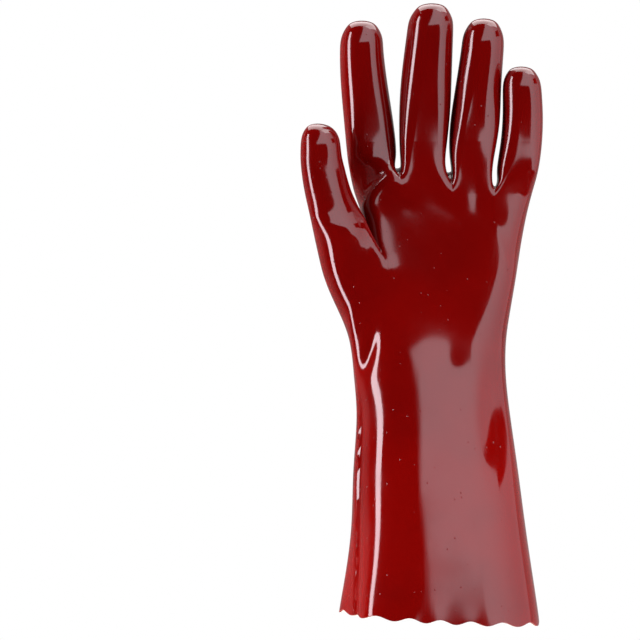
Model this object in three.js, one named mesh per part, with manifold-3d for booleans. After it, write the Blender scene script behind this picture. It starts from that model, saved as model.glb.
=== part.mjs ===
// A chemical-resistant gauntlet glove for the left hand: glossy PVC dipped over a knitted cotton liner.
// Millimetres. The fingers point up +Z, the palm faces -Y and the thumb is on the -X side.
// The origin is the middle of the cuff's mouth, where the forearm goes in.
import * as THREE from "three";
import { mergeVertices } from "three/addons/utils/BufferGeometryUtils.js";
import Module from "manifold-3d";

const wasm = await Module();
wasm.setup();

// Walls, from the outside in
const COATING_WALL = 1.0;
const LINER_GAP = 0.7;
const LINER_WALL = 0.7;
const LINER_TOP = 150; // the liner is built from the hem up to the wrist, as far as it can be seen
const UPPER_BLOCK = 300; // side of the block that cuts the liner off at its top

// The hem is cut in waves round the mouth
const HEM_HEIGHT = 5.2; // above the origin, at the middle of the mouth
const HEM_FALL = 0.055; // drop for each millimetre towards the little finger
const HEM_WAVES = 16;
const HEM_WAVE_HEIGHT = 1.2; // from the middle of a wave to its crest
const HEM_CREST_ANGLE = -1; // degrees from the middle of the front to a crest
const HEM_STEPS_PER_WAVE = 6;
const HEM_CUT_RADIUS = 90;
const HEM_CUT_BOTTOM = -40;
const OUTER_END = 2; // how far below the lowest section the outer skin is closed
const CAVITY_END = 6; // and the inner ones

// How the skin is divided. A sleeve section runs from the thumb side of the palm, across the front, round the
// little finger side and across the back, and closes over the thumb side.
const FRONT_SPANS = 10; // from the thumb's crotch to the last column of the palm's front
const ARC_SPANS = 6; // over the thumb side
const OUTER_COLUMN_SHARE = 0.02; // of the palm's width, between its edge and its outermost column
const DOME_ANGLES = [28, 58]; // the rings that round off a fingertip, in degrees
const FIT_PASSES = 5;

// Sleeve sections from below the hem to the thumb's crotch. left, right, front and back are the skin's reach.
// square is the exponent of the oval's half on the little finger side, where 2 is an ellipse. thenar is how
// far the ball of the thumb stands proud of the palm, lean how far the thumb side is drawn forward, and tuck
// how far the wall is folded in beside the thumb. arcFront and arcBack are the angles from the thumb side to
// the columns where the thumb splits off.
const SLEEVE_COLUMNS = [
  ...["z", "left", "right", "front", "back", "square", "thenar", "lean", "tuck"],
  ...["arcFront", "arcBack"],
];
const SLEEVE = [
  [-8, -62, 59.5, -45.8, 42, 2.2, 0, 0, 10, 46, 44],
  [14, -59.3, 56, -43.6, 41.5, 2.2, 0, 0, 8, 46, 44],
  [52, -53, 50.3, -39.6, 38, 2.2, 0, 0, 3.5, 46, 42],
  [88, -51.2, 45.5, -36, 34.8, 2.2, 0, 0, 2, 47, 41],
  [120, -49, 41, -32.6, 32.5, 2.2, 0, 0, 1.5, 50, 40],
  [144, -49.9, 38.3, -29.6, 30, 2.2, 0, 1.5, 0, 54, 38],
  [165, -52.4, 38.3, -27.4, 28, 2.25, 1, 4.5, 0, 59, 35],
  [184, -59.6, 40.9, -26.8, 26, 2.5, 4, 9, 0, 64, 32],
  [206, -68.6, 44.4, -27.6, 22, 2.9, 8, 14, 0, 73, 29],
];
const THUMB_SIDE_SQUARENESS = 2.2; // exponent of the oval's other half
const TUCK_AT = 16; // degrees from the thumb side towards the palm
const TUCK_REACH = 34;
const THENAR_AT = 42;
const THENAR_REACH = 52;
const LEAN_AT = -12;
const LEAN_REACH = 84;

// The skin over the crotch between thumb and palm, from the palm side to the back
const THUMB_WEB = [
  [-37, -26, 220.5],
  [-45.5, -14, 228],
  [-55, 2, 219],
];

// Palm sections from above the thumb's crotch to the finger roots. The sections slope, so they have a height
// at the thumb side and one at the little finger side, and an exponent of their oval for each. recess sets
// the index finger's root back from the palm, as far as the share recessAt of the width, and spread moves
// the columns from where they leave the sleeve (0) to the finger roots (1).
const PALM_COLUMNS = [
  ...["zThumb", "zLittle", "left", "right", "front", "back", "squareThumb", "squareLittle"],
  ...["recess", "recessAt", "spread"],
];
const PALM = [
  [240, 220, -46.5, 46.6, -28.6, 17.5, 6, 2.2, 2, 0.07, 0.35],
  [252, 237, -49.9, 49.6, -28.6, 12.5, 5.5, 2.6, 6, 0.14, 0.8],
  [265, 252, -52.6, 53.2, -28.4, 6, 4.6, 3, 8, 0.25, 1],
];
const KNUCKLE_SHARES = [0.02, 0.13, 0.25, 0.285, 0.415, 0.535, 0.565, 0.675, 0.772, 0.805, 0.89, 0.975];

// The crotches between the fingers: where each web's crown lies, and the gap between the two finger roots
const FINGER_WEBS = [
  { x: -25, y: -6, z: 266, gap: 4 },
  { x: 4.5, y: -9, z: 264, gap: 4.2 },
  { x: 31.3, y: -9, z: 256, gap: 4 },
];

// Fingers from root to the last straight section, then the tip's highest point. tilt is how much higher a
// section's back is than its front, for each millimetre between them. turn is how many degrees the section
// faces towards the little finger side, and square is the exponent of its oval.
const FINGER_COLUMNS = ["z", "x", "y", "halfWidth", "halfDepth", "tilt", "turn", "square"];
const INDEX = {
  sections: [
    [273, -39.7, -9.5, 14.2, 12.8, 0, 0, 3],
    [293, -41.6, -9.5, 14.2, 12.5, 0, 0, 2.2],
    [314, -44.1, -11, 13.5, 12.1, 0.12, 0, 2],
    [332, -45.5, -13.5, 12.6, 11.6, 0.2, 0, 2],
  ],
  tip: [-45.4, -16.5, 350],
};
const MIDDLE = {
  sections: [
    [274, -10.3, -15.4, 13.3, 13.4, 0, 0, 4],
    [296, -9.3, -15.4, 14.6, 13.2, 0, 0, 2.6],
    [319, -8.1, -16.6, 14.5, 12.9, 0.12, 0, 2],
    [341, -6.4, -19, 13.4, 12.2, 0.2, 0, 2],
  ],
  tip: [-5.1, -22, 359.6],
};
const RING = {
  sections: [
    [272, 18, -15.6, 12.8, 13, 0, 0, 4],
    [291, 19.7, -15.8, 13.9, 12.4, 0, 12, 2.6],
    [313, 21.8, -16.6, 13.2, 12, 0.12, 12, 2],
    [332, 23.8, -19, 12.3, 11.6, 0.2, 8, 2],
  ],
  tip: [25, -22, 350.9],
};
const LITTLE = {
  sections: [
    [263, 44.1, -16.2, 11.8, 11.6, 0, 0, 3.4],
    [277, 46.1, -16.4, 12, 11.3, 0, 0, 2.4],
    [293, 47.2, -16.6, 11.7, 11, 0.1, 0, 2],
    [307, 46.9, -18.4, 11.3, 10.4, 0.2, 0, 2],
  ],
  tip: [46.2, -21, 323.3],
};
const FINGERS = [INDEX, MIDDLE, RING, LITTLE];
const THUMB = {
  sections: [
    [231, -58.3, -29, 16, 12.8, 0.42, 8, 2],
    [242, -61.8, -29.6, 15.1, 12.3, 0.42, 16, 2],
    [253, -65.4, -30.4, 13.9, 11.6, 0.4, 20, 2],
    [265, -67.9, -31.4, 13, 11, 0.35, 24, 2],
    [273.5, -69, -32.2, 12, 10.4, 0.3, 24, 2],
  ],
  tip: [-69.4, -34.5, 289.6],
};
// Where a ring's first column faces, in degrees from the thumb side towards the palm's front
const FINGER_FACING = 45;
const THUMB_FACING = 180;
const TIP_SQUARENESS = 2.5;

const degrees = THREE.MathUtils.degToRad;
const lerp = THREE.MathUtils.lerp;
const vector = (place) => new THREE.Vector3(...place);
const named = (columns, values) => Object.fromEntries(columns.map((name, i) => [name, values[i]]));

// A smooth hill of height 1 that falls to 0 at reach degrees from its middle.
function hill(angle, middle, reach) {
  const distance = Math.abs(THREE.MathUtils.euclideanModulo(angle - middle + 180, 360) - 180);
  return distance < reach ? 0.5 + 0.5 * Math.cos((Math.PI * distance) / reach) : 0;
}

// A rounded section's unit coordinate, where the exponent squares the oval.
function rounded(value, exponent) {
  return Math.sign(value) * Math.abs(value) ** (2 / exponent);
}

// The point of a sleeve section at an angle from the thumb side, turning towards the palm's front.
function sleevePoint(section, angle) {
  const halfWidth = (section.right - section.left) / 2;
  const halfDepth = (section.back - section.front) / 2;
  const towardsThumb = Math.cos(degrees(angle));
  const square = towardsThumb > 0 ? THUMB_SIDE_SQUARENESS : section.square;
  const across = halfWidth * rounded(towardsThumb, square);
  const deep = halfDepth * rounded(Math.sin(degrees(angle)), square);
  const tucked = section.tuck * hill(angle, TUCK_AT, TUCK_REACH);
  const proud = section.thenar * hill(angle, THENAR_AT, THENAR_REACH);
  const leaning = section.lean * hill(angle, LEAN_AT, LEAN_REACH);
  return new THREE.Vector3(
    (section.left + section.right) / 2 - across + tucked,
    (section.front + section.back) / 2 - deep - proud - leaning,
    section.z,
  );
}

// One closed loop of a sleeve: the palm's front, the little finger side, the back, then over the thumb side.
function sleeveLoop(values) {
  const section = named(SLEEVE_COLUMNS, values);
  const { arcFront, arcBack } = section;
  const spans = FRONT_SPANS + 1;
  const across = [];
  for (let i = 0; i < spans; i++) across.push(lerp(arcFront, 180, i / spans));
  for (let i = 0; i <= spans; i++) across.push(lerp(180, 360 - arcBack, i / spans));
  for (let i = 1; i < ARC_SPANS; i++) across.push(lerp(-arcBack, arcFront, i / ARC_SPANS));
  return across.map((angle) => sleevePoint(section, angle));
}

// One closed loop of the palm: the front from thumb to little finger, its side, the back, and the thumb side.
// leaving holds where its columns leave the sleeve.
function palmLoop(values, leaving) {
  const section = named(PALM_COLUMNS, values);
  const width = section.right - section.left;
  const middle = (section.front + section.back) / 2;
  const halfDepth = (section.back - section.front) / 2;
  const at = (share, side) => {
    const square = lerp(section.squareThumb, section.squareLittle, share);
    const fullness = (1 - Math.abs(2 * share - 1) ** square) ** (1 / square);
    const setBack = side < 0 ? section.recess * Math.max(0, 1 - share / section.recessAt) : 0;
    return new THREE.Vector3(
      section.left + share * width,
      middle + side * halfDepth * fullness + setBack,
      lerp(section.zThumb, section.zLittle, share),
    );
  };
  const shares = KNUCKLE_SHARES.map((share, k) => {
    const straight = (leaving[k] - section.left) / width;
    const inside = THREE.MathUtils.clamp(straight, OUTER_COLUMN_SHARE, 1 - OUTER_COLUMN_SHARE);
    return lerp(inside, share, section.spread);
  });
  const front = shares.map((share) => at(share, -1));
  const back = shares.map((share) => at(share, 1)).reverse();
  return [...front, at(1, 1), ...back, at(0, 1)];
}

// An oval ring of a finger. Its first point is at facing degrees from the thumb side, turning over the front.
function fingerLoop(section, sides, facing) {
  const twist = degrees(section.turn);
  return Array.from({ length: sides }, (_, i) => {
    const angle = degrees(facing + (360 * i) / sides) - twist;
    const across = -section.halfWidth * rounded(Math.cos(angle), section.square);
    const deep = -section.halfDepth * rounded(Math.sin(angle), section.square);
    return new THREE.Vector3(
      section.x + across * Math.cos(twist) - deep * Math.sin(twist),
      section.y + across * Math.sin(twist) + deep * Math.cos(twist),
      section.z + section.tilt * deep,
    );
  });
}

// A finger's straight sections, and the ones that round it off from the last of them to its tip.
function fingerSections({ sections, tip }) {
  const straight = sections.map((values) => named(FINGER_COLUMNS, values));
  const last = straight[straight.length - 1];
  const [tipX, tipY, tipZ] = tip;
  const dome = DOME_ANGLES.map((angle) => {
    const up = rounded(Math.sin(degrees(angle)), TIP_SQUARENESS);
    const size = rounded(Math.cos(degrees(angle)), TIP_SQUARENESS);
    return {
      ...last,
      z: lerp(last.z, tipZ, up),
      x: lerp(last.x, tipX, up),
      y: lerp(last.y, tipY, up),
      halfWidth: last.halfWidth * size,
      halfDepth: last.halfDepth * size,
    };
  });
  return [...straight, ...dome];
}

// The net of four-sided panels that the skin is drawn over. Its points lie on the outer skin.
const points = [];
const panels = [];

function place(loop) {
  return loop.map((p) => points.push(p.clone()) - 1);
}

function band(lower, upper) {
  lower.forEach((a, i) => {
    const next = (i + 1) % lower.length;
    panels.push([a, lower[next], upper[next], upper[i]]);
  });
}

// A finger grown from the loop it stands on, closed over its tip.
function growFinger(root, finger, facing) {
  let loop = root;
  for (const section of fingerSections(finger)) {
    const next = place(fingerLoop(section, root.length, facing));
    band(loop, next);
    loop = next;
  }
  const [tip] = place([vector(finger.tip)]);
  for (let i = 0; i < loop.length; i += 2)
    panels.push([loop[i], loop[i + 1], loop[(i + 2) % loop.length], tip]);
}

function buildNet() {
  // Cuff, wrist and the ball of the thumb
  const sleeve = SLEEVE.map((values) => place(sleeveLoop(values)));
  sleeve.slice(1).forEach((loop, i) => band(sleeve[i], loop));
  const hem = sleeve[0];
  const split = sleeve[sleeve.length - 1];

  // The thumb splits off from the palm over its web
  const [webFront, webCrown, webBack] = place(THUMB_WEB.map(vector));
  const palmColumns = 2 * FRONT_SPANS + 3;
  const palmRoot = [webFront, ...split.slice(0, palmColumns), webBack, webCrown];
  const thumbArc = split.slice(palmColumns);
  const thumbRoot = [split[0], webFront, webCrown, webBack, split[palmColumns - 1], ...thumbArc];
  growFinger(thumbRoot, THUMB, THUMB_FACING);

  // Palm
  let loop = palmRoot;
  const leaving = [points[webFront].x, ...split.slice(0, FRONT_SPANS + 1).map((i) => points[i].x)];
  for (const values of PALM) {
    const next = place(palmLoop(values, leaving));
    band(loop, next);
    loop = next;
  }

  // Webs between the fingers, then the fingers
  const columns = KNUCKLE_SHARES.length;
  const front = (column) => loop[column];
  const back = (column) => loop[2 * columns - column];
  const sides = [[null, loop[2 * columns + 1]]];
  FINGER_WEBS.forEach((web, i) => {
    const halfGap = new THREE.Vector3(web.gap / 2, 0, 0);
    const crown = new THREE.Vector3(web.x, web.y, web.z);
    const [nearSide, farSide] = place([crown.clone().sub(halfGap), crown.clone().add(halfGap)]);
    const column = 3 * i + 2;
    panels.push([front(column), front(column + 1), farSide, nearSide]);
    panels.push([nearSide, farSide, back(column + 1), back(column)]);
    sides.push([nearSide, farSide]);
  });
  sides.push([loop[columns], null]);
  FINGERS.forEach((finger, i) => {
    const first = 3 * i;
    const root = [front(first), front(first + 1), front(first + 2), sides[i + 1][0]];
    root.push(back(first + 2), back(first + 1), back(first), sides[i][1]);
    growFinger(root, finger, FINGER_FACING);
  });
  return hem;
}

// Who is next to whom in a net of four-sided panels: each point's neighbours, and the far corners of the
// panels round it.
function neighbourhood(count, net) {
  const around = Array.from({ length: count }, () => ({ edges: new Map(), corners: [] }));
  for (const panel of net)
    panel.forEach((a, i) => {
      const before = panel[(i + 3) % 4];
      const after = panel[(i + 1) % 4];
      around[a].corners.push(panel[(i + 2) % 4]);
      for (const b of [before, after]) around[a].edges.set(b, (around[a].edges.get(b) || 0) + 1);
    });
  return around.map(({ edges, corners }) => ({
    edges: [...edges.keys()],
    corners,
    rim: [...edges].filter(([, uses]) => uses === 1).map(([b]) => b),
  }));
}

// Where each point of a net ends up on the smooth skin that Catmull-Clark subdivision leads to.
function onSkin(net, around) {
  return net.map((p, i) => {
    const { edges, corners, rim } = around[i];
    const sum = new THREE.Vector3();
    if (rim.length) {
      rim.forEach((b) => sum.add(net[b]));
      return sum.addScaledVector(p, 4).divideScalar(6);
    }
    const n = edges.length;
    corners.forEach((b) => sum.add(net[b]));
    edges.forEach((b) => sum.addScaledVector(net[b], 4));
    return sum.addScaledVector(p, n * n).divideScalar(n * (n + 5));
  });
}

// Moves the net's points out until the smooth skin passes through the places they were given.
function fitNet(given, net) {
  const around = neighbourhood(given.length, net);
  let fitted = given.map((p) => p.clone());
  for (let pass = 0; pass < FIT_PASSES; pass++) {
    const reached = onSkin(fitted, around);
    fitted = fitted.map((p, i) => p.clone().add(given[i]).sub(reached[i]));
  }
  return fitted;
}

// One round of Catmull-Clark subdivision. The old points keep their numbers.
function subdivide(net, netPanels) {
  const around = neighbourhood(net.length, netPanels);
  const middles = netPanels.map((panel) =>
    panel.reduce((s, a) => s.add(net[a]), new THREE.Vector3()).divideScalar(4),
  );
  const edges = new Map();
  const keyOf = (a, b) => (a < b ? a + "_" + b : b + "_" + a);
  netPanels.forEach((panel, f) =>
    panel.forEach((a, i) => {
      const b = panel[(i + 1) % 4];
      if (!edges.has(keyOf(a, b))) edges.set(keyOf(a, b), { a, b, beside: [] });
      edges.get(keyOf(a, b)).beside.push(f);
    }),
  );
  const middleSums = net.map(() => new THREE.Vector3());
  netPanels.forEach((panel, f) => panel.forEach((a) => middleSums[a].add(middles[f])));
  const made = net.map((p, i) => {
    const { edges: linked, rim } = around[i];
    const sum = new THREE.Vector3();
    if (rim.length) {
      rim.forEach((b) => sum.add(net[b]));
      return sum.addScaledVector(p, 6).divideScalar(8);
    }
    const n = linked.length;
    linked.forEach((b) => sum.add(net[b]));
    return sum.add(middleSums[i]).divideScalar(n * n).addScaledVector(p, (n - 2) / n);
  });
  for (const edge of edges.values()) {
    const p = net[edge.a].clone().add(net[edge.b]);
    if (edge.beside.length === 2) edge.beside.forEach((f) => p.add(middles[f]));
    edge.number = made.push(p.divideScalar(edge.beside.length === 2 ? 4 : 2)) - 1;
  }
  const quarters = [];
  netPanels.forEach((panel, f) => {
    const middle = made.push(middles[f]) - 1;
    panel.forEach((a, i) => {
      const after = edges.get(keyOf(a, panel[(i + 1) % 4])).number;
      const before = edges.get(keyOf(panel[(i + 3) % 4], a)).number;
      quarters.push([a, after, middle, before]);
    });
  });
  return { net: made, panels: quarters };
}

function normalsOf(skin, skinPanels) {
  const normals = skin.map(() => new THREE.Vector3());
  for (const panel of skinPanels) {
    const [a, b, c, d] = panel.map((i) => skin[i]);
    const facing = c.clone().sub(a).cross(d.clone().sub(b));
    panel.forEach((i) => normals[i].add(facing));
  }
  return normals.map((n) => n.normalize());
}

function geometryOf(skin, triangles) {
  const position = new Float32Array(skin.flatMap((p) => p.toArray()));
  return new THREE.BufferGeometry()
    .setAttribute("position", new THREE.BufferAttribute(position, 3))
    .setIndex(triangles);
}

function solidOf(geometry) {
  const vertProperties = new Float32Array(geometry.getAttribute("position").array);
  const triVerts = new Uint32Array(geometry.index.array);
  const mesh = new wasm.Mesh({ numProp: 3, vertProperties, triVerts });
  mesh.merge();
  return new wasm.Manifold(mesh);
}

// A skin closed into a solid by a flat bottom under the hem, at the height floor.
function closedSkin(skin, skinPanels, rim, floor) {
  const triangles = skinPanels.flatMap(([a, b, c, d]) => [a, b, c, a, c, d]);
  const all = [...skin];
  const lowered = rim.map((i) => all.push(new THREE.Vector3(skin[i].x, skin[i].y, floor)) - 1);
  const middle = all.push(new THREE.Vector3(0, 0, floor)) - 1;
  rim.forEach((a, i) => {
    const next = (i + 1) % rim.length;
    triangles.push(lowered[i], lowered[next], rim[next], lowered[i], rim[next], a);
    triangles.push(middle, lowered[next], lowered[i]);
  });
  return solidOf(geometryOf(all, triangles));
}

// What is cut off below the wavy hem: a block under a top that waves round the middle of the mouth. Its first
// two points are the middles of its top and its bottom.
function offcut() {
  const steps = HEM_WAVES * HEM_STEPS_PER_WAVE;
  const corners = [new THREE.Vector3(0, 0, HEM_HEIGHT), new THREE.Vector3(0, 0, HEM_CUT_BOTTOM)];
  const triangles = [];
  for (let i = 0; i < steps; i++) {
    const angle = (360 * i) / steps;
    const x = HEM_CUT_RADIUS * Math.sin(degrees(angle));
    const y = -HEM_CUT_RADIUS * Math.cos(degrees(angle));
    const wave = HEM_WAVE_HEIGHT * Math.cos(degrees(HEM_WAVES * (angle - HEM_CREST_ANGLE)));
    corners.push(new THREE.Vector3(x, y, HEM_HEIGHT - HEM_FALL * x + wave));
    corners.push(new THREE.Vector3(x, y, HEM_CUT_BOTTOM));
    const top = 2 + 2 * i;
    const nextTop = 2 + ((2 * i + 2) % (2 * steps));
    triangles.push(0, top, nextTop);
    triangles.push(1, nextTop + 1, top + 1);
    triangles.push(top, top + 1, nextTop + 1);
    triangles.push(top, nextTop + 1, nextTop);
  }
  return solidOf(geometryOf(corners, triangles));
}

function meshOf(name, solid, material) {
  const { numProp, vertProperties, triVerts } = solid.getMesh();
  const position = new Float32Array((vertProperties.length / numProp) * 3);
  for (let i = 0; i * numProp < vertProperties.length; i++)
    position.set(vertProperties.subarray(i * numProp, i * numProp + 3), i * 3);
  const geometry = new THREE.BufferGeometry()
    .setAttribute("position", new THREE.BufferAttribute(position, 3))
    .setIndex(new THREE.BufferAttribute(triVerts, 1));
  geometry.computeVertexNormals();
  const mesh = new THREE.Mesh(geometry, material);
  mesh.name = name;
  return mesh;
}

// The coating's skins are divided once. The liner's follow the undivided net.
const hem = buildNet();
const net = fitNet(points, panels);
const fine = subdivide(net, panels);
const fineAround = neighbourhood(fine.net.length, fine.panels);
const outerSkin = onSkin(fine.net, fineAround);
const normals = normalsOf(outerSkin, fine.panels);

function fineHem() {
  const onRim = (i) => fineAround[i].rim;
  const loop = [hem[0]];
  let next = onRim(hem[0]).find((i) => onRim(i).includes(hem[1]));
  while (next !== hem[0]) {
    const last = loop[loop.length - 1];
    loop.push(next);
    next = onRim(next).find((i) => i !== last);
  }
  return loop;
}

// The skin set in along its normals: all of its points, or only the net's own, which come first.
function skinSetIn(depth, count) {
  return outerSkin.slice(0, count).map((p, i) => p.clone().addScaledVector(normals[i], -depth));
}

// Each skin is closed below the hem, the inner ones further down, and the offcut takes the closed ends away.
const OUTER_FLOOR = SLEEVE[0][0] - OUTER_END;
const CAVITY_FLOOR = SLEEVE[0][0] - CAVITY_END;
const LINER_DEPTH = COATING_WALL + LINER_GAP;
const scrap = offcut();
const rim = fineHem();
const coatingSolid = closedSkin(outerSkin, fine.panels, rim, OUTER_FLOOR)
  .subtract(closedSkin(skinSetIn(COATING_WALL, outerSkin.length), fine.panels, rim, CAVITY_FLOOR))
  .subtract(scrap);

const aboveLiner = new THREE.BoxGeometry(UPPER_BLOCK, UPPER_BLOCK, UPPER_BLOCK);
aboveLiner.translate(0, 0, LINER_TOP + UPPER_BLOCK / 2);
for (const attribute of ["normal", "uv"]) aboveLiner.deleteAttribute(attribute);
const linerSolid = closedSkin(skinSetIn(LINER_DEPTH, points.length), panels, hem, OUTER_FLOOR)
  .subtract(closedSkin(skinSetIn(LINER_DEPTH + LINER_WALL, points.length), panels, hem, CAVITY_FLOOR))
  .subtract(scrap)
  .subtract(solidOf(mergeVertices(aboveLiner)));

const pvc = new THREE.MeshStandardMaterial({ name: "red_pvc", color: 0x7d0a08, roughness: 0.12 });
const cotton = new THREE.MeshStandardMaterial({ name: "natural_cotton", color: 0xe6dccb, roughness: 0.95 });

const glove = new THREE.Group();
glove.add(meshOf("pvc_coating", coatingSolid, pvc));
glove.add(meshOf("cotton_liner", linerSolid, cotton));

export default glove;
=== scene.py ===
import math

import bmesh
import bpy
import numpy as np
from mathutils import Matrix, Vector


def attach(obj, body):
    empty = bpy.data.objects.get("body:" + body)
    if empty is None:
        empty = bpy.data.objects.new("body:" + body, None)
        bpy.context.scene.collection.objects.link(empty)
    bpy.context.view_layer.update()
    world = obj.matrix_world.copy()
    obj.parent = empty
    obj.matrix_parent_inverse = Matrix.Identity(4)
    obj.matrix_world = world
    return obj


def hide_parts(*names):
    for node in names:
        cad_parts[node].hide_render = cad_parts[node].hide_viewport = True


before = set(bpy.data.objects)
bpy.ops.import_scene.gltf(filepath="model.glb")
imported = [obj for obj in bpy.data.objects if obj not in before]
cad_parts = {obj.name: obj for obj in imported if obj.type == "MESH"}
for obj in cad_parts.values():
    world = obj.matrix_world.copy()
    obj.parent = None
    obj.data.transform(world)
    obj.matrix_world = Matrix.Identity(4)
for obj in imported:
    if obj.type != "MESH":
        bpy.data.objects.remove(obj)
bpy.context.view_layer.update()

# Camera. It stands in front of the palm, level with the wrist, and its long lens keeps the sides of the glove
# straight. The glove fills the right half of the frame from its top to its bottom.
MM = 0.001
CAMERA_X = -69.6 * MM
CAMERA_HEIGHT = 177.5 * MM
CAMERA_DISTANCE = 2.6
FRAME_WIDTH = 371.2 * MM
SENSOR_WIDTH = 36.0
CAMERA_SEES_TO = 20.0
bpy.ops.object.camera_add(location=(CAMERA_X, -CAMERA_DISTANCE, CAMERA_HEIGHT))
camera = bpy.context.object
camera.rotation_euler = (math.pi / 2, 0, 0)
camera.data.sensor_width = SENSOR_WIDTH
camera.data.lens = SENSOR_WIDTH * CAMERA_DISTANCE / FRAME_WIDTH
camera.data.clip_end = CAMERA_SEES_TO
bpy.context.scene.camera = camera
bpy.context.scene.view_settings.view_transform = "Standard"

# Glove coating. One skin of soft PVC, dipped over a hand-shaped former: a flared cuff, a wrist, a palm, four
# fingers and a thumb that comes forward. Its net of four-sided panels is drawn up ring by ring from the hem.
# It is a left glove seen from the palm: the thumb side is at -x, the palm at -y and the fingers point up.
COATING_WALL = 1.0 * MM
FRONT_SPANS = 10
ARC_SPANS = 6
PALM_COLUMNS = 2 * FRONT_SPANS + 3
THUMB_SIDE_SQUARENESS = 2.2
HEM_FALL = 0.055
HEM_WAVES = 16
HEM_WAVE_HEIGHT = 1.2 * MM
HEM_WAVE_REACH = 14 * MM
HEM_CREST_ANGLE = -1

# Sections from the hem to the thumb, in millimetres and degrees. Towards the hand the ball of the thumb, its
# thenar, swells and the thumb side leans forward. Towards the hem the thumb side is tucked in. The front row
# of points begins at arc_front, the back row ends at arc_back, and the thumb's root is on the arc between.
SLEEVE_COLUMNS = ("z", "left", "right", "front", "back", "square", "thenar", "lean", "tuck",
                  "arc_front", "arc_back")
SLEEVE = [
    (5.2, -60.4, 57.4, -44.5, 41.7, 2.2, 0, 0, 8.8, 46, 44),
    (16, -59.0, 55.7, -43.4, 41.4, 2.2, 0, 0, 7.8, 46, 44),
    (52, -53, 50.3, -39.6, 38, 2.2, 0, 0, 3.5, 46, 42),
    (88, -51.2, 45.5, -36, 34.8, 2.2, 0, 0, 2, 47, 41),
    (120, -49, 41, -32.6, 32.5, 2.2, 0, 0, 1.5, 50, 40),
    (144, -49.9, 38.3, -29.6, 30, 2.2, 0, 1.5, 0, 54, 38),
    (165, -52.4, 38.3, -27.4, 28, 2.25, 1, 4.5, 0, 59, 35),
    (184, -59.6, 40.9, -26.8, 26, 2.5, 4, 9, 0, 64, 32),
    (206, -68.6, 44.4, -27.6, 22, 2.9, 8, 14, 0, 73, 29),
]

# Where round the sleeve these swellings have their middles, and how far they reach.
TUCK_AT, TUCK_REACH = 16, 34
THENAR_AT, THENAR_REACH = 42, 52
LEAN_AT, LEAN_REACH = -12, 84
THUMB_WEB = [(-37, -26, 220.5), (-45.5, -14, 228), (-55, 2, 219)]

# Sections of the palm above the thumb. They slope down to the little finger, are set back by a recess on the
# thumb side, and spread their columns from where they leave the sleeve to the roots of the fingers.
PALM_COLUMN_NAMES = ("z_thumb", "z_little", "left", "right", "front", "back", "square_thumb", "square_little",
                     "recess", "recess_at", "spread")
PALM = [
    (240, 220, -46.5, 46.6, -28.6, 17.5, 6, 2.2, 2, 0.07, 0.35),
    (252, 237, -49.9, 49.6, -28.6, 12.5, 5.5, 2.6, 6, 0.14, 0.8),
    (265, 252, -52.6, 53.2, -28.4, 6, 4.6, 3, 8, 0.25, 1),
]
OUTER_COLUMN_SHARE = 0.02
KNUCKLE_SHARES = [0.02, 0.13, 0.25, 0.285, 0.415, 0.535, 0.565, 0.675, 0.772, 0.805, 0.89, 0.975]

# Each web between two fingers has a place and a width. Each finger has oval sections, which tilt forward and
# turn about its length, and the place of its tip.
FINGER_WEBS = [(-25, -6, 266, 4), (4.5, -9, 264, 4.2), (31.3, -9, 256, 4)]
FINGER_COLUMNS = ("z", "x", "y", "half_width", "half_depth", "tilt", "turn", "square")
FINGERS = {
    "index": (
        [(273, -39.7, -9.5, 14.2, 12.8, 0, 0, 3), (293, -41.6, -9.5, 14.2, 12.5, 0, 0, 2.2),
         (314, -44.1, -11, 13.5, 12.1, 0.12, 0, 2), (332, -45.5, -13.5, 12.6, 11.6, 0.2, 0, 2)],
        (-45.4, -16.5, 350),
    ),
    "middle": (
        [(274, -10.3, -15.4, 13.3, 13.4, 0, 0, 4), (296, -9.3, -15.4, 14.6, 13.2, 0, 0, 2.6),
         (319, -8.1, -16.6, 14.5, 12.9, 0.12, 0, 2), (341, -6.4, -19, 13.4, 12.2, 0.2, 0, 2)],
        (-5.1, -22, 359.6),
    ),
    "ring": (
        [(272, 18, -15.6, 12.8, 13, 0, 0, 4), (291, 19.7, -15.8, 13.9, 12.4, 0, 12, 2.6),
         (313, 21.8, -16.6, 13.2, 12, 0.12, 12, 2), (332, 23.8, -19, 12.3, 11.6, 0.2, 8, 2)],
        (25, -22, 350.9),
    ),
    "little": (
        [(263, 44.1, -16.2, 11.8, 11.6, 0, 0, 3.4), (277, 46.1, -16.4, 12, 11.3, 0, 0, 2.4),
         (293, 47.2, -16.6, 11.7, 11, 0.1, 0, 2), (307, 46.9, -18.4, 11.3, 10.4, 0.2, 0, 2)],
        (46.2, -21, 323.3),
    ),
}
THUMB = (
    [(231, -58.3, -29, 16, 12.8, 0.42, 8, 2), (242, -61.8, -29.6, 15.1, 12.3, 0.42, 16, 2),
     (253, -65.4, -30.4, 13.9, 11.6, 0.4, 20, 2), (265, -67.9, -31.4, 13, 11, 0.35, 24, 2),
     (273.5, -69, -32.2, 12, 10.4, 0.3, 24, 2)],
    (-69.4, -34.5, 289.6),
)
FINGER_FACING, THUMB_FACING = 45, 180
DOME_ANGLES = (28, 58)
TIP_SQUARENESS = 2.5
FIT_PASSES = 5


def mix(a, b, share):
    return a + (b - a) * share


def hill(angle, middle, reach):
    """A smooth hill of height 1 that falls to 0 at reach degrees from its middle."""
    distance = abs((angle - middle + 180) % 360 - 180)
    return 0.5 + 0.5 * math.cos(math.pi * distance / reach) if distance < reach else 0


def rounded(value, exponent):
    """A rounded section's unit coordinate, where the exponent squares the oval."""
    return math.copysign(abs(value) ** (2 / exponent), value)


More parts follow.
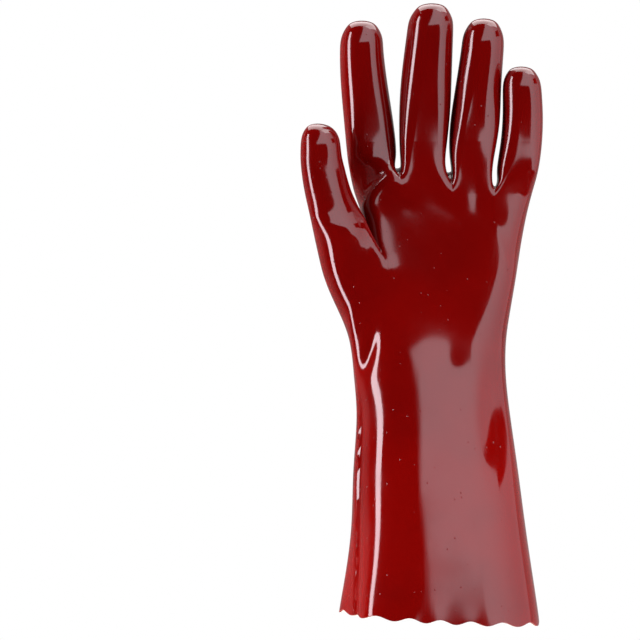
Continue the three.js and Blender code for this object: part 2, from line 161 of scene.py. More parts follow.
def sleeve_point(row, angle):
    """The point of a sleeve section at an angle from the thumb side, turning towards the palm."""
    turn = math.radians(angle)
    half_width, half_depth = (row["right"] - row["left"]) / 2, (row["back"] - row["front"]) / 2
    square = THUMB_SIDE_SQUARENESS if math.cos(turn) > 0 else row["square"]
    x = (row["left"] + row["right"]) / 2 - half_width * rounded(math.cos(turn), square)
    y = (row["front"] + row["back"]) / 2 - half_depth * rounded(math.sin(turn), square)
    x += row["tuck"] * hill(angle, TUCK_AT, TUCK_REACH)
    y -= row["thenar"] * hill(angle, THENAR_AT, THENAR_REACH) + row["lean"] * hill(angle, LEAN_AT, LEAN_REACH)
    z = row["z"] - (HEM_FALL * x if row["z"] == SLEEVE[0][0] else 0)
    return Vector((x, y, z)) * MM


def sleeve_loop(values):
    """One closed loop: the palm's front, the little finger side, the back, then over the thumb side."""
    row = dict(zip(SLEEVE_COLUMNS, values))
    spans = FRONT_SPANS + 1
    angles = [mix(row["arc_front"], 180, i / spans) for i in range(spans)]
    angles += [mix(180, 360 - row["arc_back"], i / spans) for i in range(spans + 1)]
    angles += [mix(-row["arc_back"], row["arc_front"], i / ARC_SPANS) for i in range(1, ARC_SPANS)]
    return [sleeve_point(row, angle) for angle in angles]


def palm_loop(values, leaving):
    """One closed loop of the palm. leaving holds where its columns leave the sleeve."""
    row = dict(zip(PALM_COLUMN_NAMES, values))
    width = row["right"] - row["left"]
    middle, half_depth = (row["front"] + row["back"]) / 2, (row["back"] - row["front"]) / 2

    def at(share, side):
        square = mix(row["square_thumb"], row["square_little"], share)
        fullness = (1 - abs(2 * share - 1) ** square) ** (1 / square)
        set_back = row["recess"] * max(0, 1 - share / row["recess_at"]) if side < 0 else 0
        y = middle + side * half_depth * fullness + set_back
        return Vector((row["left"] + share * width, y, mix(row["z_thumb"], row["z_little"], share))) * MM

    shares = []
    for x, share in zip(leaving, KNUCKLE_SHARES):
        straight = min(max((x / MM - row["left"]) / width, OUTER_COLUMN_SHARE), 1 - OUTER_COLUMN_SHARE)
        shares.append(mix(straight, share, row["spread"]))
    front = [at(share, -1) for share in shares]
    back = [at(share, 1) for share in reversed(shares)]
    return [*front, at(1, 1), *back, at(0, 1)]


def finger_loop(row, sides, facing):
    """An oval ring of a finger. Its first point is at facing degrees from the thumb side."""
    loop = []
    twist = math.radians(row["turn"])
    for i in range(sides):
        angle = math.radians(facing + 360 * i / sides) - twist
        across = -row["half_width"] * rounded(math.cos(angle), row["square"])
        deep = -row["half_depth"] * rounded(math.sin(angle), row["square"])
        x = row["x"] + across * math.cos(twist) - deep * math.sin(twist)
        y = row["y"] + across * math.sin(twist) + deep * math.cos(twist)
        z = row["z"] + row["tilt"] * deep
        loop.append(Vector((x, y, z)) * MM)
    return loop


def finger_rows(sections, tip):
    """A finger's straight sections and the ones that round it off towards its tip."""
    rows = [dict(zip(FINGER_COLUMNS, values)) for values in sections]
    last = rows[-1]
    for angle in DOME_ANGLES:
        up = rounded(math.sin(math.radians(angle)), TIP_SQUARENESS)
        size = rounded(math.cos(math.radians(angle)), TIP_SQUARENESS)
        place = {name: mix(last[name], end, up) for name, end in zip(("x", "y", "z"), tip)}
        girth = {"half_width": last["half_width"] * size, "half_depth": last["half_depth"] * size}
        rows.append({**last, **place, **girth})
    return rows


def select(glove, points=(), loop=()):
    """Selects points, or the edges of a closed loop of points, in edit mode."""
    net = bmesh.from_edit_mesh(glove.data)
    net.verts.ensure_lookup_table()
    bpy.ops.mesh.select_all(action="DESELECT")
    for i in points:
        net.verts[i].select_set(True)
    for a, b in zip(loop, [*loop[1:], *loop[:1]]):
        net.edges.get((net.verts[a], net.verts[b])).select_set(True)
    net.select_flush(True)
    bmesh.update_edit_mesh(glove.data)
    return len(net.verts)


def settle(glove, old, count, places):
    """Puts the points that an extrude drew from the old ones in their places, and gives their numbers."""
    net = bmesh.from_edit_mesh(glove.data)
    net.verts.ensure_lookup_table()
    new = []
    for i, place in zip(old, places):
        ends = [edge.other_vert(net.verts[i]) for edge in net.verts[i].link_edges]
        made = next(v for v in ends if v.index >= count)
        made.co = place
        new.append(made.index)
    bmesh.update_edit_mesh(glove.data)
    return new


def extrude_loop(glove, loop, places):
    count = select(glove, loop=loop)
    bpy.ops.mesh.extrude_edges_indiv()
    return settle(glove, loop, count, places)


def extrude_point(glove, point, place):
    count = select(glove, points=[point])
    bpy.ops.mesh.extrude_verts_indiv()
    return settle(glove, [point], count, [place])[0]


def join(glove, *points):
    """Draws an edge between two points or a panel between four."""
    select(glove, points=points)
    bpy.ops.mesh.edge_face_add()


def grow_finger(glove, root, finger, facing):
    sections, tip = finger
    loop = root
    for row in finger_rows(sections, tip):
        loop = extrude_loop(glove, loop, finger_loop(row, len(root), facing))
    crown = extrude_point(glove, loop[0], Vector(tip) * MM)
    for i in range(0, len(loop), 2):
        join(glove, loop[i], loop[i + 1], loop[(i + 2) % len(loop)], crown)


bpy.ops.object.select_all(action="DESELECT")
hem_loop = sleeve_loop(SLEEVE[0])
bpy.ops.mesh.primitive_circle_add(vertices=len(hem_loop), radius=SLEEVE[0][2] * MM)
glove = bpy.context.object
glove.name = glove.data.name = "coating"
bpy.ops.object.mode_set(mode="EDIT")
net = bmesh.from_edit_mesh(glove.data)
for point, place in zip(net.verts, hem_loop):
    point.co = place
bmesh.update_edit_mesh(glove.data)

split = list(range(len(hem_loop)))
for values in SLEEVE[1:]:
    split = extrude_loop(glove, split, sleeve_loop(values))

# The thumb splits off from the palm over its web.
web_places = [Vector(place) * MM for place in THUMB_WEB]
web_front = extrude_point(glove, split[0], web_places[0])
web_crown = extrude_point(glove, web_front, web_places[1])
web_back = extrude_point(glove, web_crown, web_places[2])
join(glove, web_back, split[PALM_COLUMNS - 1])
thumb_root = [split[0], web_front, web_crown, web_back, *split[PALM_COLUMNS - 1:]]
grow_finger(glove, thumb_root, THUMB, THUMB_FACING)

loop = [web_front, *split[:PALM_COLUMNS], web_back, web_crown]
split_places = sleeve_loop(SLEEVE[-1])
leaving = [web_places[0].x] + [place.x for place in split_places[:FRONT_SPANS + 1]]
for values in PALM:
    loop = extrude_loop(glove, loop, palm_loop(values, leaving))

# The webs between the fingers, each drawn up from the front and closed to the back, then the fingers.
columns = len(KNUCKLE_SHARES)
back_of = [loop[2 * columns - column] for column in range(columns)]
sides = [loop[2 * columns + 1]]
for i, (x, y, z, gap) in enumerate(FINGER_WEBS):
    column = 3 * i + 2
    near = extrude_point(glove, loop[column], Vector((x - gap / 2, y, z)) * MM)
    far = extrude_point(glove, loop[column + 1], Vector((x + gap / 2, y, z)) * MM)
    join(glove, loop[column], loop[column + 1], far, near)
    join(glove, near, far, back_of[column + 1], back_of[column])
    sides += [near, far]
sides.append(loop[columns])
for i, finger in enumerate(FINGERS.values()):
    first = 3 * i
    root = [*loop[first:first + 3], sides[2 * i + 1]]
    root += [back_of[first + 2], back_of[first + 1], back_of[first], sides[2 * i]]
    grow_finger(glove, root, finger, FINGER_FACING)
bpy.ops.mesh.select_all(action="SELECT")
bpy.ops.mesh.normals_make_consistent(inside=False)
bpy.ops.object.mode_set(mode="OBJECT")

# A smooth skin lies a little inside the net that it is divided from, and this says by how much.
RIM_OWN_WEIGHT, RIM_SIDE_WEIGHT = 4 / 6, 1 / 6


def limit_weights(mesh):
    """For each point of a net, its neighbours and their weights on the smooth skin that it leads to."""
    net = bmesh.new()
    net.from_mesh(mesh)
    rows = []
    for v in net.verts:
        rim = [e.other_vert(v).index for e in v.link_edges if e.is_boundary]
        n = len(v.link_edges)
        if rim:
            rows.append((v.index, RIM_OWN_WEIGHT, rim, RIM_SIDE_WEIGHT, [], 0))
            continue
        edges = [e.other_vert(v).index for e in v.link_edges]
        corners = [next(u.index for u in f.verts if u != v and u.index not in edges) for f in v.link_faces]
        share = 1 / (n * (n + 5))
        rows.append((v.index, n * n * share, edges, 4 * share, corners, share))
    net.free()
    return rows


# The net's points move out until the smooth skin passes through the places they were given.
given = np.array([v.co for v in glove.data.vertices])
fitted = given.copy()
weights = limit_weights(glove.data)
for _ in range(FIT_PASSES):
    reached = np.empty_like(fitted)
    for i, own, edges, edge_share, corners, corner_share in weights:
        reached[i] = own * fitted[i] + edge_share * fitted[edges].sum(0)
        if corners:
            reached[i] += corner_share * fitted[corners].sum(0)
    fitted += given - reached
glove.data.vertices.foreach_set("co", fitted.ravel())
glove.data.update()
SKIN_DIVISIONS = 3
skin = glove.modifiers.new("skin", "SUBSURF")
skin.levels = skin.render_levels = SKIN_DIVISIONS
bpy.ops.object.modifier_apply(modifier="skin")

# Folds and dents that the soft skin has taken on, pushed in and out of its front. A fold is a line up the
# skin, raised or sunk along its length, that falls away over one reach on its thumb side and another on the
# other. The thumb stands in front of the folds and isn't moved by them. Folds and dents fade where the skin
# turns from the front.
FOLD_COLUMNS = ("height", "thumb_reach", "little_reach", "line")
FOLDS = [
    (1.8, 2.0, 8.0, [(-44.7, 226), (-44.2, 238), (-42.5, 244), (-40, 250), (-36.5, 255), (-31.5, 259),
                     (-27, 265)]),
    (-1.9, 3.0, 4.4, [(-38, 178), (-41, 162), (-45.5, 146)]),
    (1.7, 3.5, 3.6, [(-52, 184), (-50, 168), (-48.8, 148)]),
    (2.2, 4.0, 3.5, [(-46, 246), (-43.5, 240), (-41.5, 233), (-38.5, 225), (-35, 216), (-32.5, 210)]),
]
FOLD_END, FOLD_TAPER = 0.02, 0.6
THUMB_FRONT, THUMB_FADE = -36, 5
FRONT_FADE = 2
DENT_COLUMNS = ("height", "x", "z", "half_width", "half_height")
DENTS = [
    (1.0, -30, 205, 6, 5),
    (-1.2, -19, 0, 16, 60),
    (0.5, -62, 243, 8, 14),
    (-1.0, 10, 147, 6, 11),
    (-3.8, 31.5, 126, 8, 30),
    (-1.0, 17.5, 257, 5, 11),
]
CUFF_FOLD = [(6, 25), (32, 22), (57, 18), (85, 20), (114, 17.5), (145, 15)]
CUFF_FOLD_HEIGHT, CUFF_FOLD_REACH, CUFF_FOLD_FADE = 1.8, 2.2, 30
CUFF_GROOVE_DEPTH, CUFF_GROOVE_REACH, CUFF_GROOVE_BEHIND = 2.0, 3.5, 5.5


def beside_line(x, z, line):
    """How far points lie from a line, positive on its little finger side, and how its ends taper there."""
    nearest = np.full(len(x), np.inf)
    side, share = np.ones(len(x)), np.zeros(len(x))
    for i, ((ax, az), (bx, bz)) in enumerate(zip(line, line[1:])):
        length = math.hypot(bx - ax, bz - az)
        along = np.clip(((x - ax) * (bx - ax) + (z - az) * (bz - az)) / length ** 2, 0, 1)
        away = np.hypot(x - ax - along * (bx - ax), z - az - along * (bz - az))
        closer = away < nearest
        cross = (x - ax) * (bz - az) - (z - az) * (bx - ax)
        side[closer] = np.sign(cross * (bz - az if bz != az else 1))[closer]
        share[closer] = ((i + along) / (len(line) - 1))[closer]
        nearest[closer] = away[closer]
    return nearest * side, np.sin(np.pi * np.clip(share, FOLD_END, 1 - FOLD_END)) ** FOLD_TAPER


co = np.empty(len(glove.data.vertices) * 3)
normal = np.empty_like(co)
glove.data.vertices.foreach_get("co", co)
glove.data.vertices.foreach_get("normal", normal)
co, normal = co.reshape(-1, 3), normal.reshape(-1, 3)
x, y, z = co.T / MM
facing = np.clip(-normal[:, 1] * FRONT_FADE, 0, 1)
push = np.zeros(len(co))
behind_thumb = np.clip((y - THUMB_FRONT) / THUMB_FADE, 0, 1)
for values in FOLDS:
    fold = dict(zip(FOLD_COLUMNS, values))
    away, taper = beside_line(x, z, fold["line"])
    reach = np.where(away < 0, fold["thumb_reach"], fold["little_reach"])
    push += fold["height"] * np.exp(-(away / reach) ** 2) * taper * facing * behind_thumb
for values in DENTS:
    dent = dict(zip(DENT_COLUMNS, values))
    away = ((x - dent["x"]) / dent["half_width"]) ** 2 + ((z - dent["z"]) / dent["half_height"]) ** 2
    push += dent["height"] * np.exp(-away) * facing

# The cuff was folded flat once, and keeps the fold on its thumb side, with a groove behind it.
widths = {name: [row[i] for row in SLEEVE] for i, name in enumerate(SLEEVE_COLUMNS)}
left, right = np.interp(z, widths["z"], widths["left"]), np.interp(z, widths["z"], widths["right"])
front, back = np.interp(z, widths["z"], widths["front"]), np.interp(z, widths["z"], widths["back"])
across = np.clip(((left + right) / 2 - x) / ((right - left) / 2), -1, 1)
deep = np.clip(((front + back) / 2 - y) / ((back - front) / 2), -1, 1)
deep = np.copysign(abs(deep) ** (THUMB_SIDE_SQUARENESS / 2), deep)
across = np.copysign(abs(across) ** (THUMB_SIDE_SQUARENESS / 2), across)
angle = np.degrees(np.arctan2(deep, across))
fold_z, fold_angle = zip(*CUFF_FOLD)
away = np.radians(angle - np.interp(z, fold_z, fold_angle)) * (right - left) / 2
taper = np.clip((fold_z[-1] - z) / CUFF_FOLD_FADE, 0, 1)
ridge = CUFF_FOLD_HEIGHT * np.exp(-(away / CUFF_FOLD_REACH) ** 2)
groove = CUFF_GROOVE_DEPTH * np.exp(-((away + CUFF_GROOVE_BEHIND) / CUFF_GROOVE_REACH) ** 2)
push += (ridge - groove) * taper
co += normal * push[:, None] * MM

# The hem was trimmed in waves. It falls a little towards the little finger side.
turn = np.arctan2(co[:, 0], -co[:, 1])
hem_height = SLEEVE[0][0] * MM - HEM_FALL * co[:, 0]
near_hem = np.clip(1 - (co[:, 2] - hem_height) / HEM_WAVE_REACH, 0, 1) ** 2
co[:, 2] += near_hem * HEM_WAVE_HEIGHT * np.cos(HEM_WAVES * (turn - math.radians(HEM_CREST_ANGLE)))
glove.data.vertices.foreach_set("co", co.ravel())
glove.data.update()

# The knitted liner is bonded to the coating's inside. It is drawn from the same skin, from hem to wrist.
bpy.ops.object.duplicate()
liner = bpy.context.object
liner.name = liner.data.name = "liner"

# The coating gets its wall, on the inside of the skin.
SHARP_EDGE = math.radians(50)
bpy.ops.object.select_all(action="DESELECT")
bpy.context.view_layer.objects.active = glove
glove.select_set(True)
wall = glove.modifiers.new("wall", "SOLIDIFY")
wall.thickness = COATING_WALL
wall.offset = -1
wall.use_even_offset = False
bpy.ops.object.modifier_apply(modifier="wall")
bpy.ops.object.shade_smooth_by_angle(angle=SHARP_EDGE)

# The faces of the hem's cut edge, those near the hem that look down, are marked for the material, which
# paints them a paler red and makes them matt.
CUT_EDGE_BELOW, CUT_EDGE_FACES_DOWN = 15 * MM, -0.7
cut = glove.data.attributes.new("cut_edge", "FLOAT", "FACE")
for i, face in enumerate(glove.data.polygons):
    is_cut = face.normal.z < CUT_EDGE_FACES_DOWN and face.center.z < CUT_EDGE_BELOW
    cut.data[i].value = 1.0 if is_cut else 0.0


class Shading:
    """The nodes of a material or of the room, drawn one after another, each linked as it is drawn."""

    def __init__(self, owner, shader="Principled BSDF"):
        owner.use_nodes = True
        self.nodes, self.links = owner.node_tree.nodes, owner.node_tree.links
        self.inputs = self.nodes[shader].inputs
        self.coordinates = self.nodes.new("ShaderNodeTexCoord").outputs
        self.place = self.coordinates["Object"]

    def set(self, socket, value):
        if isinstance(value, bpy.types.NodeSocket):
            self.links.new(value, socket)
        else:
            socket.default_value = value

    def axes(self, vector):
        node = self.nodes.new("ShaderNodeSeparateXYZ")
        self.set(node.inputs[0], vector)
        return node.outputs

    def noise(self, scale, detail, stretch=(1, 1, 1)):
        """Noise with this many waves to the metre."""
        mapping = self.nodes.new("ShaderNodeMapping")
        mapping.inputs["Scale"].default_value = stretch
        self.set(mapping.inputs["Vector"], self.place)
        node = self.nodes.new("ShaderNodeTexNoise")
        self.set(node.inputs["Vector"], mapping.outputs[0])
        node.inputs["Scale"].default_value, node.inputs["Detail"].default_value = scale, detail
        return node.outputs["Fac"]

    def math(self, operation, a, b=0.0):
        """One operation of a Math node, on numbers or on what other nodes give."""
        node = self.nodes.new("ShaderNodeMath")
        node.operation = operation
        self.set(node.inputs[0], a)
        self.set(node.inputs[1], b)
        return node.outputs[0]

    def ranged(self, value, low, high, to_low=0.0, to_high=1.0, step="LINEAR"):
        """Brings what lies between low and high to between to_low and to_high."""
        node = self.nodes.new("ShaderNodeMapRange")
        node.interpolation_type = step
        self.set(node.inputs["Value"], value)
        for name, number in (("From Min", low), ("From Max", high), ("To Min", to_low), ("To Max", to_high)):
            node.inputs[name].default_value = number
        return node.outputs["Result"]

    def blend(self, factor, a, b):
        """A colour between a and b."""
        node = self.nodes.new("ShaderNodeMix")
        node.data_type = "RGBA"
        for socket, value in ((node.inputs[0], factor), (node.inputs[6], a), (node.inputs[7], b)):
            self.set(socket, value)
        return node.outputs[2]

    def bump(self, height, depth, under=None):
        """A bump over the one under it. depth is in metres from its lowest point to its highest."""
        node = self.nodes.new("ShaderNodeBump")
        node.inputs["Strength"].default_value = 1
        node.inputs["Distance"].default_value = depth
        self.set(node.inputs["Height"], height)
        if under is not None:
            self.set(node.inputs["Normal"], under)
        return node.outputs["Normal"]


# The skin ran a little as it set, and dried with small bubbles and specks of dust in it. Its red is painted
# lighter on the cuff than on the hand, painted light for the stronger light that falls on the cuff, and is
# darker in clouds at random.
CUFF_PAINTED_LIGHT_RED = (0.145, 0.001, 0.0006, 1)
HAND_RED = (0.108, 0.0008, 0.0006, 1)
DEEP_RED = (0.085, 0.0007, 0.0006, 1)
CUT_RED = (0.32, 0.035, 0.025, 1)
CUFF_PAINTED_LIGHT_TO, HAND_RED_FROM = 90 * MM, 260 * MM
CLOUDS, CLOUDS_FROM, CLOUDS_TO, CLOUDS_DEPTH = 16, 0.42, 0.7, 0.7
GLOSS, DULLER_GLOSS, CUT_ROUGHNESS = 0.06, 0.13, 0.55
DULLING, DULLING_FROM, DULLING_TO = 45, 0.35, 0.7
PVC_IOR = 1.53
SPECK_CELLS, SPECK_RIM, SPECK_CORE, SPECK_HEIGHT = 260, 0.13, 0.03, 0.16 * MM
SPECKS_BEGIN, SPECKS_FULL = 0.8, 0.84
red_pvc = bpy.data.materials.new("red_pvc_gloss")
pvc = Shading(red_pvc)
cut_edge = pvc.nodes.new("ShaderNodeAttribute")
cut_edge.attribute_name = "cut_edge"
height = pvc.axes(pvc.place)["Z"]
# The cuff is painted a lighter red than the hand, fading towards the hand: painted light for the stronger
# light that falls on the cuff.
skin_colour_and_painted_light = pvc.blend(pvc.ranged(height, CUFF_PAINTED_LIGHT_TO, HAND_RED_FROM), CUFF_PAINTED_LIGHT_RED, HAND_RED)
clouds = pvc.ranged(pvc.noise(CLOUDS, 3), CLOUDS_FROM, CLOUDS_TO, 0, CLOUDS_DEPTH)
skin_colour_and_painted_light = pvc.blend(clouds, skin_colour_and_painted_light, DEEP_RED)
pvc.set(pvc.inputs["Base Color"], pvc.blend(cut_edge.outputs["Fac"], skin_colour_and_painted_light, CUT_RED))
gloss = pvc.ranged(pvc.noise(DULLING, 3), DULLING_FROM, DULLING_TO, GLOSS, DULLER_GLOSS)
dulled = pvc.math("MULTIPLY", cut_edge.outputs["Fac"], CUT_ROUGHNESS)
pvc.set(pvc.inputs["Roughness"], pvc.math("MAXIMUM", gloss, dulled))
pvc.set(pvc.inputs["IOR"], PVC_IOR)

# Specks lie in the middle of a few of the pattern's cells, chosen by the cells' own colours.
cells = pvc.nodes.new("ShaderNodeTexVoronoi")
pvc.set(cells.inputs["Scale"], SPECK_CELLS)
pvc.set(cells.inputs["Vector"], pvc.place)
chosen = pvc.nodes.new("ShaderNodeSeparateColor")
pvc.set(chosen.inputs[0], cells.outputs["Color"])
round_speck = pvc.ranged(cells.outputs["Distance"], SPECK_RIM, SPECK_CORE)
speck = pvc.math("MULTIPLY", round_speck, pvc.ranged(chosen.outputs[0], SPECKS_BEGIN, SPECKS_FULL))

# The skin's waviness, from broad to fine: waves to the metre, detail, stretch, depth, and where it lies. Fine
# drips run down the cuff, and the fingers are the most uneven.
DRIPS_FADE_FROM, DRIPS_END = 160 * MM, 200 * MM
FINGERS_BEGIN, FINGERS_FULL = 250 * MM, 280 * MM
on_cuff = pvc.ranged(height, DRIPS_END, DRIPS_FADE_FROM)
on_fingers = pvc.ranged(height, FINGERS_BEGIN, FINGERS_FULL)
WAVINESS = [
    (26, 0, (1, 1, 0.4), 0.5 * MM, None),
    (80, 0, (1, 1, 0.3), 0.08 * MM, None),
    (160, 2, (1, 1, 0.12), 0.03 * MM, on_cuff),
    (50, 0, (1, 1, 0.5), 0.6 * MM, on_fingers),
    (900, 2, (1, 1, 1), 0.002 * MM, None),
]
normal = None
for waves, detail, stretch, depth, where in WAVINESS:
    pattern = pvc.noise(waves, detail, stretch)
    if where is not None:
        pattern = pvc.math("MULTIPLY", pattern, where)
    normal = pvc.bump(pattern, depth, normal)
pvc.set(pvc.inputs["Normal"], pvc.bump(speck, SPECK_HEIGHT, normal))
glove.data.materials.append(red_pvc)
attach(glove, "root")
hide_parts("pvc_coating")

# Liner. A knitted sleeve of natural cotton that the PVC is dipped over, so that it is bonded to the coating's
# inside. It shows only in the mouth. Its top is cut off at the wrist, out of sight.
LINER_SET_IN = 1.3 * MM
LINER_WALL = 0.7 * MM
LINER_TOP = 150 * MM
bpy.ops.object.select_all(action="DESELECT")
bpy.context.view_layer.objects.active = liner
liner.select_set(True)
bpy.ops.object.mode_set(mode="EDIT")
bpy.ops.mesh.select_all(action="SELECT")
bpy.ops.mesh.bisect(plane_co=(0, 0, LINER_TOP), plane_no=(0, 0, 1), clear_outer=True)
bpy.ops.mesh.select_all(action="SELECT")
bpy.ops.transform.shrink_fatten(value=-LINER_SET_IN)
bpy.ops.object.mode_set(mode="OBJECT")
wall = liner.modifiers.new("wall", "SOLIDIFY")
wall.thickness = LINER_WALL
wall.offset = -1
bpy.ops.object.modifier_apply(modifier="wall")
bpy.ops.object.shade_smooth_by_angle(angle=SHARP_EDGE)

# The knit has columns of stitches, wales, side by side round the sleeve, and rows of them, courses, one above
# another, each course rising in the middle of a wale.
WALES, COURSE = 190, 1.7 * MM
COTTON_SHADE, COTTON_LIGHT = (0.6, 0.5, 0.41, 1), (0.86, 0.78, 0.68, 1)
TONE_WAVES, STITCH_SHADE_AND_TONE_FROM, STITCH_SHADE_AND_TONE_TO = 30, 0.4, 1.4
COTTON_ROUGHNESS, COTTON_SHEEN = 0.95, 0.3
STITCH_HEIGHT, FUZZ_WAVES, FUZZ_HEIGHT = 0.4 * MM, 2500, 0.1 * MM
cotton_knit = bpy.data.materials.new("natural_cotton_knit")
cotton = Shading(cotton_knit)
axes = cotton.axes(cotton.place)
turn = cotton.math("ARCTAN2", axes["X"], axes["Y"])
wale = cotton.math("ABSOLUTE", cotton.math("SINE", cotton.math("MULTIPLY", turn, WALES / 2)))
slope = cotton.math("ADD", axes["Z"], cotton.math("MULTIPLY", wale, COURSE / 2))
course = cotton.math("ABSOLUTE", cotton.math("SINE", cotton.math("MULTIPLY", slope, math.pi / COURSE)))
stitch = cotton.math("MULTIPLY", wale, course)
# The cotton is painted darker between the stitches and lighter on their tops, painted shade in the knit's
# hollows, with random tone over it.
stitch_shade_and_tone = cotton.ranged(cotton.math("ADD", stitch, cotton.noise(TONE_WAVES, 3)), STITCH_SHADE_AND_TONE_FROM, STITCH_SHADE_AND_TONE_TO)
cotton.set(cotton.inputs["Base Color"], cotton.blend(stitch_shade_and_tone, COTTON_SHADE, COTTON_LIGHT))
cotton.set(cotton.inputs["Roughness"], COTTON_ROUGHNESS)
cotton.set(cotton.inputs["Sheen Weight"], COTTON_SHEEN)
knit = cotton.bump(stitch, STITCH_HEIGHT)
cotton.set(cotton.inputs["Normal"], cotton.bump(cotton.noise(FUZZ_WAVES, 2), FUZZ_HEIGHT, knit))
liner.data.materials.append(cotton_knit)
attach(liner, "root")
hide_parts("cotton_liner")

# Floor. A plain pale floor, matt as paper, well below the glove, which is held up by something out of sight.
# It isn't mirrored in the glossy skin.
FLOOR_HEIGHT = -0.5
FLOOR_SIZE = 6.0
FLOOR_MIDDLE = 2.7
FLOOR_COLOUR, FLOOR_ROUGHNESS = (0.9, 0.9, 0.9, 1), 0.9
bpy.ops.mesh.primitive_plane_add(size=FLOOR_SIZE, location=(0, FLOOR_MIDDLE, FLOOR_HEIGHT))
floor = bpy.context.object
floor.name = "floor"
pale_floor = bpy.data.materials.new("pale_floor")
pale_floor.use_nodes = True
pale = pale_floor.node_tree.nodes["Principled BSDF"].inputs
pale["Base Color"].default_value = FLOOR_COLOUR
pale["Roughness"].default_value = FLOOR_ROUGHNESS
pale["Specular IOR Level"].default_value = 0
floor.data.materials.append(pale_floor)
floor.visible_glossy = False

# Studio light. A tall strip on the left draws the thin bright lines, a soft box behind and above lights the
# back, and a curved screen on the right gives the broad soft reflections. Two fills light the glove's sides
# and aren't mirrored in it.
LOOK_AT = Vector((-15 * MM, 0, 180 * MM))
WHITE, STRIP_PINK = (1.0, 1.0, 1.0), (1.0, 0.88, 0.95)
SOFT_BOX_COLUMNS = ("name", "azimuth", "elevation", "distance", "width", "height", "radiance", "colour",
                    "mirrored")
SOFT_BOXES = [
    ("strip", -68, -9, 2.0, 0.54, 4.2, 13, STRIP_PINK, True),
    ("top_box", 160, 70, 3.0, 5.0, 3.4, 4, WHITE, True),
    ("left_fill", -116, 8, 2.4, 1.8, 2.2, 12, WHITE, False),
    ("right_fill", 58, -20, 1.0, 0.6, 0.6, 8, WHITE, False),
]


def towards(azimuth, elevation):
    """The way from the glove at an azimuth from the camera, positive to the right, and an elevation."""
    turn, lift = math.radians(azimuth), math.radians(elevation)
    return Vector((math.sin(turn) * math.cos(lift), -math.cos(turn) * math.cos(lift), math.sin(lift)))


for values in SOFT_BOXES:
    setting = dict(zip(SOFT_BOX_COLUMNS, values))
    way = towards(setting["azimuth"], setting["elevation"])
    bpy.ops.object.light_add(type="AREA", location=LOOK_AT + way * setting["distance"])
    box = bpy.context.object
    box.name = setting["name"]
    box.rotation_euler = (-way).to_track_quat("-Z", "Y").to_euler()
    box.data.shape = "RECTANGLE"
    box.data.size, box.data.size_y = setting["width"], setting["height"]
    box.data.energy = setting["radiance"] * math.pi * setting["width"] * setting["height"]
    box.data.color = setting["colour"]
    box.visible_camera = False
    box.visible_glossy = setting["mirrored"]

# The large soft screen on the right is curved. Its foot is just over the camera and steps down to the right.
SCREEN_DISTANCE = 9.0
SCREEN_COLUMNS, SCREEN_ROWS = 66, 44
SCREEN_LEFT, SCREEN_RIGHT, SCREEN_SLANT = -14, 118, 30
SCREEN_TOP = 72
SCREEN_FOOT_LEFT, SCREEN_FOOT_RIGHT = 5.8, -22
SCREEN_STEP_FROM, SCREEN_STEP_TO = 36, 58
bpy.ops.mesh.primitive_grid_add(x_subdivisions=SCREEN_COLUMNS, y_subdivisions=SCREEN_ROWS, size=1)
screen = bpy.context.object
screen.name = "soft_screen"
for point in screen.data.vertices:
    across, up = point.co.x + 0.5, point.co.y + 0.5
    azimuth = mix(SCREEN_LEFT + SCREEN_SLANT * up, SCREEN_RIGHT, across)
    step = min(max((azimuth - SCREEN_STEP_FROM) / (SCREEN_STEP_TO - SCREEN_STEP_FROM), 0), 1)
    step = step * step * (3 - 2 * step)
    foot = mix(SCREEN_FOOT_LEFT, SCREEN_FOOT_RIGHT, step)
    point.co = LOOK_AT + towards(azimuth, mix(foot, SCREEN_TOP, up)) * SCREEN_DISTANCE

# A gap in the screen, low on the right, leaves the dark patch on the cuff's little finger side.
GAP_LEFT, GAP_RIGHT, GAP_FOOT, GAP_TOP = 74, 112, 12.5, 27
net = bmesh.new()
net.from_mesh(screen.data)
gap = []
for face in net.faces:
    way = (face.calc_center_median() - LOOK_AT).normalized()
    azimuth, elevation = math.degrees(math.atan2(way.x, -way.y)), math.degrees(math.asin(way.z))
    if GAP_LEFT < azimuth < GAP_RIGHT and GAP_FOOT < elevation < GAP_TOP:
        gap.append(face)
bmesh.ops.delete(net, geom=gap, context="FACES")
net.to_mesh(screen.data)
net.free()

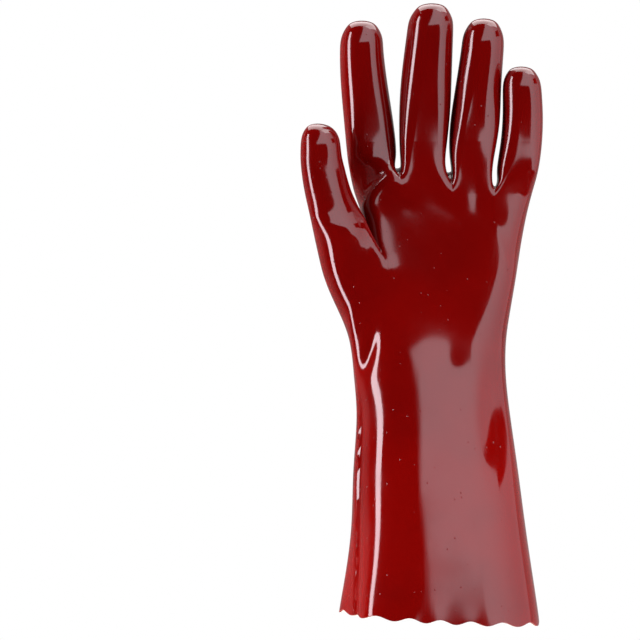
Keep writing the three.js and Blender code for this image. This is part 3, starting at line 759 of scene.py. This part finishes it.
# The screen glows faintly blue. It has soft edges on the left and along its foot, and dims to the right.
SCREEN_GLOW, SCREEN_COLOUR, SCREEN_CLOTH = 2.8, (0.96, 0.93, 1.0, 1), (0, 0, 0, 1)
SCREEN_SOFT_SIDE, SCREEN_SOFT_FOOT = 0.04, 0.02
SCREEN_DIMS_FROM, SCREEN_FAR_END = 0.3, 0.35
screen_glow = bpy.data.materials.new("screen_glow")
glow = Shading(screen_glow)
glow.set(glow.inputs["Base Color"], SCREEN_CLOTH)
glow.set(glow.inputs["Emission Color"], SCREEN_COLOUR)
axes = glow.axes(glow.coordinates["UV"])
side = glow.ranged(axes["X"], 0, SCREEN_SOFT_SIDE, 0, SCREEN_GLOW, "SMOOTHSTEP")
foot = glow.ranged(axes["Y"], 0, SCREEN_SOFT_FOOT, 0, 1, "SMOOTHSTEP")
far = glow.ranged(axes["X"], SCREEN_DIMS_FROM, 1, 1, SCREEN_FAR_END, "SMOOTHSTEP")
strength = glow.math("MULTIPLY", glow.math("MULTIPLY", side, foot), far)
glow.set(glow.inputs["Emission Strength"], strength)
screen.data.materials.append(screen_glow)
screen.visible_camera = False

# White room. Its back wall is bright and gives the glove its bright rims, more so on the right, and the part
# behind the camera is nearly dark. The camera itself sees plain white all round.
FRONT_GLOW, BACK_GLOW, BACK_BEGINS, BACK_FULL = 0.008, 0.7, 0.1, 0.4
LEFT_SHARE, RIGHT_SHARE, LEFT_ENDS, RIGHT_FULL = 0.28, 0.5, -0.05, 0.35
BACKDROP_WHITE = 1.0
white_room = bpy.data.worlds.new("white_room")
bpy.context.scene.world = white_room
room = Shading(white_room, "Background")
axes = room.axes(room.coordinates["Generated"])
back = room.ranged(axes["Y"], BACK_BEGINS, BACK_FULL, FRONT_GLOW, BACK_GLOW)
right = room.ranged(axes["X"], LEFT_ENDS, RIGHT_FULL, LEFT_SHARE, RIGHT_SHARE)
ray = room.nodes.new("ShaderNodeLightPath")
brightness = room.nodes.new("ShaderNodeMix")
brightness.data_type = "FLOAT"
room.set(brightness.inputs["Factor"], ray.outputs["Is Camera Ray"])
room.set(brightness.inputs["A"], room.math("MULTIPLY", back, right))
room.set(brightness.inputs["B"], BACKDROP_WHITE)
room.set(room.inputs["Color"], (1, 1, 1, 1))
room.set(room.inputs["Strength"], brightness.outputs["Result"])
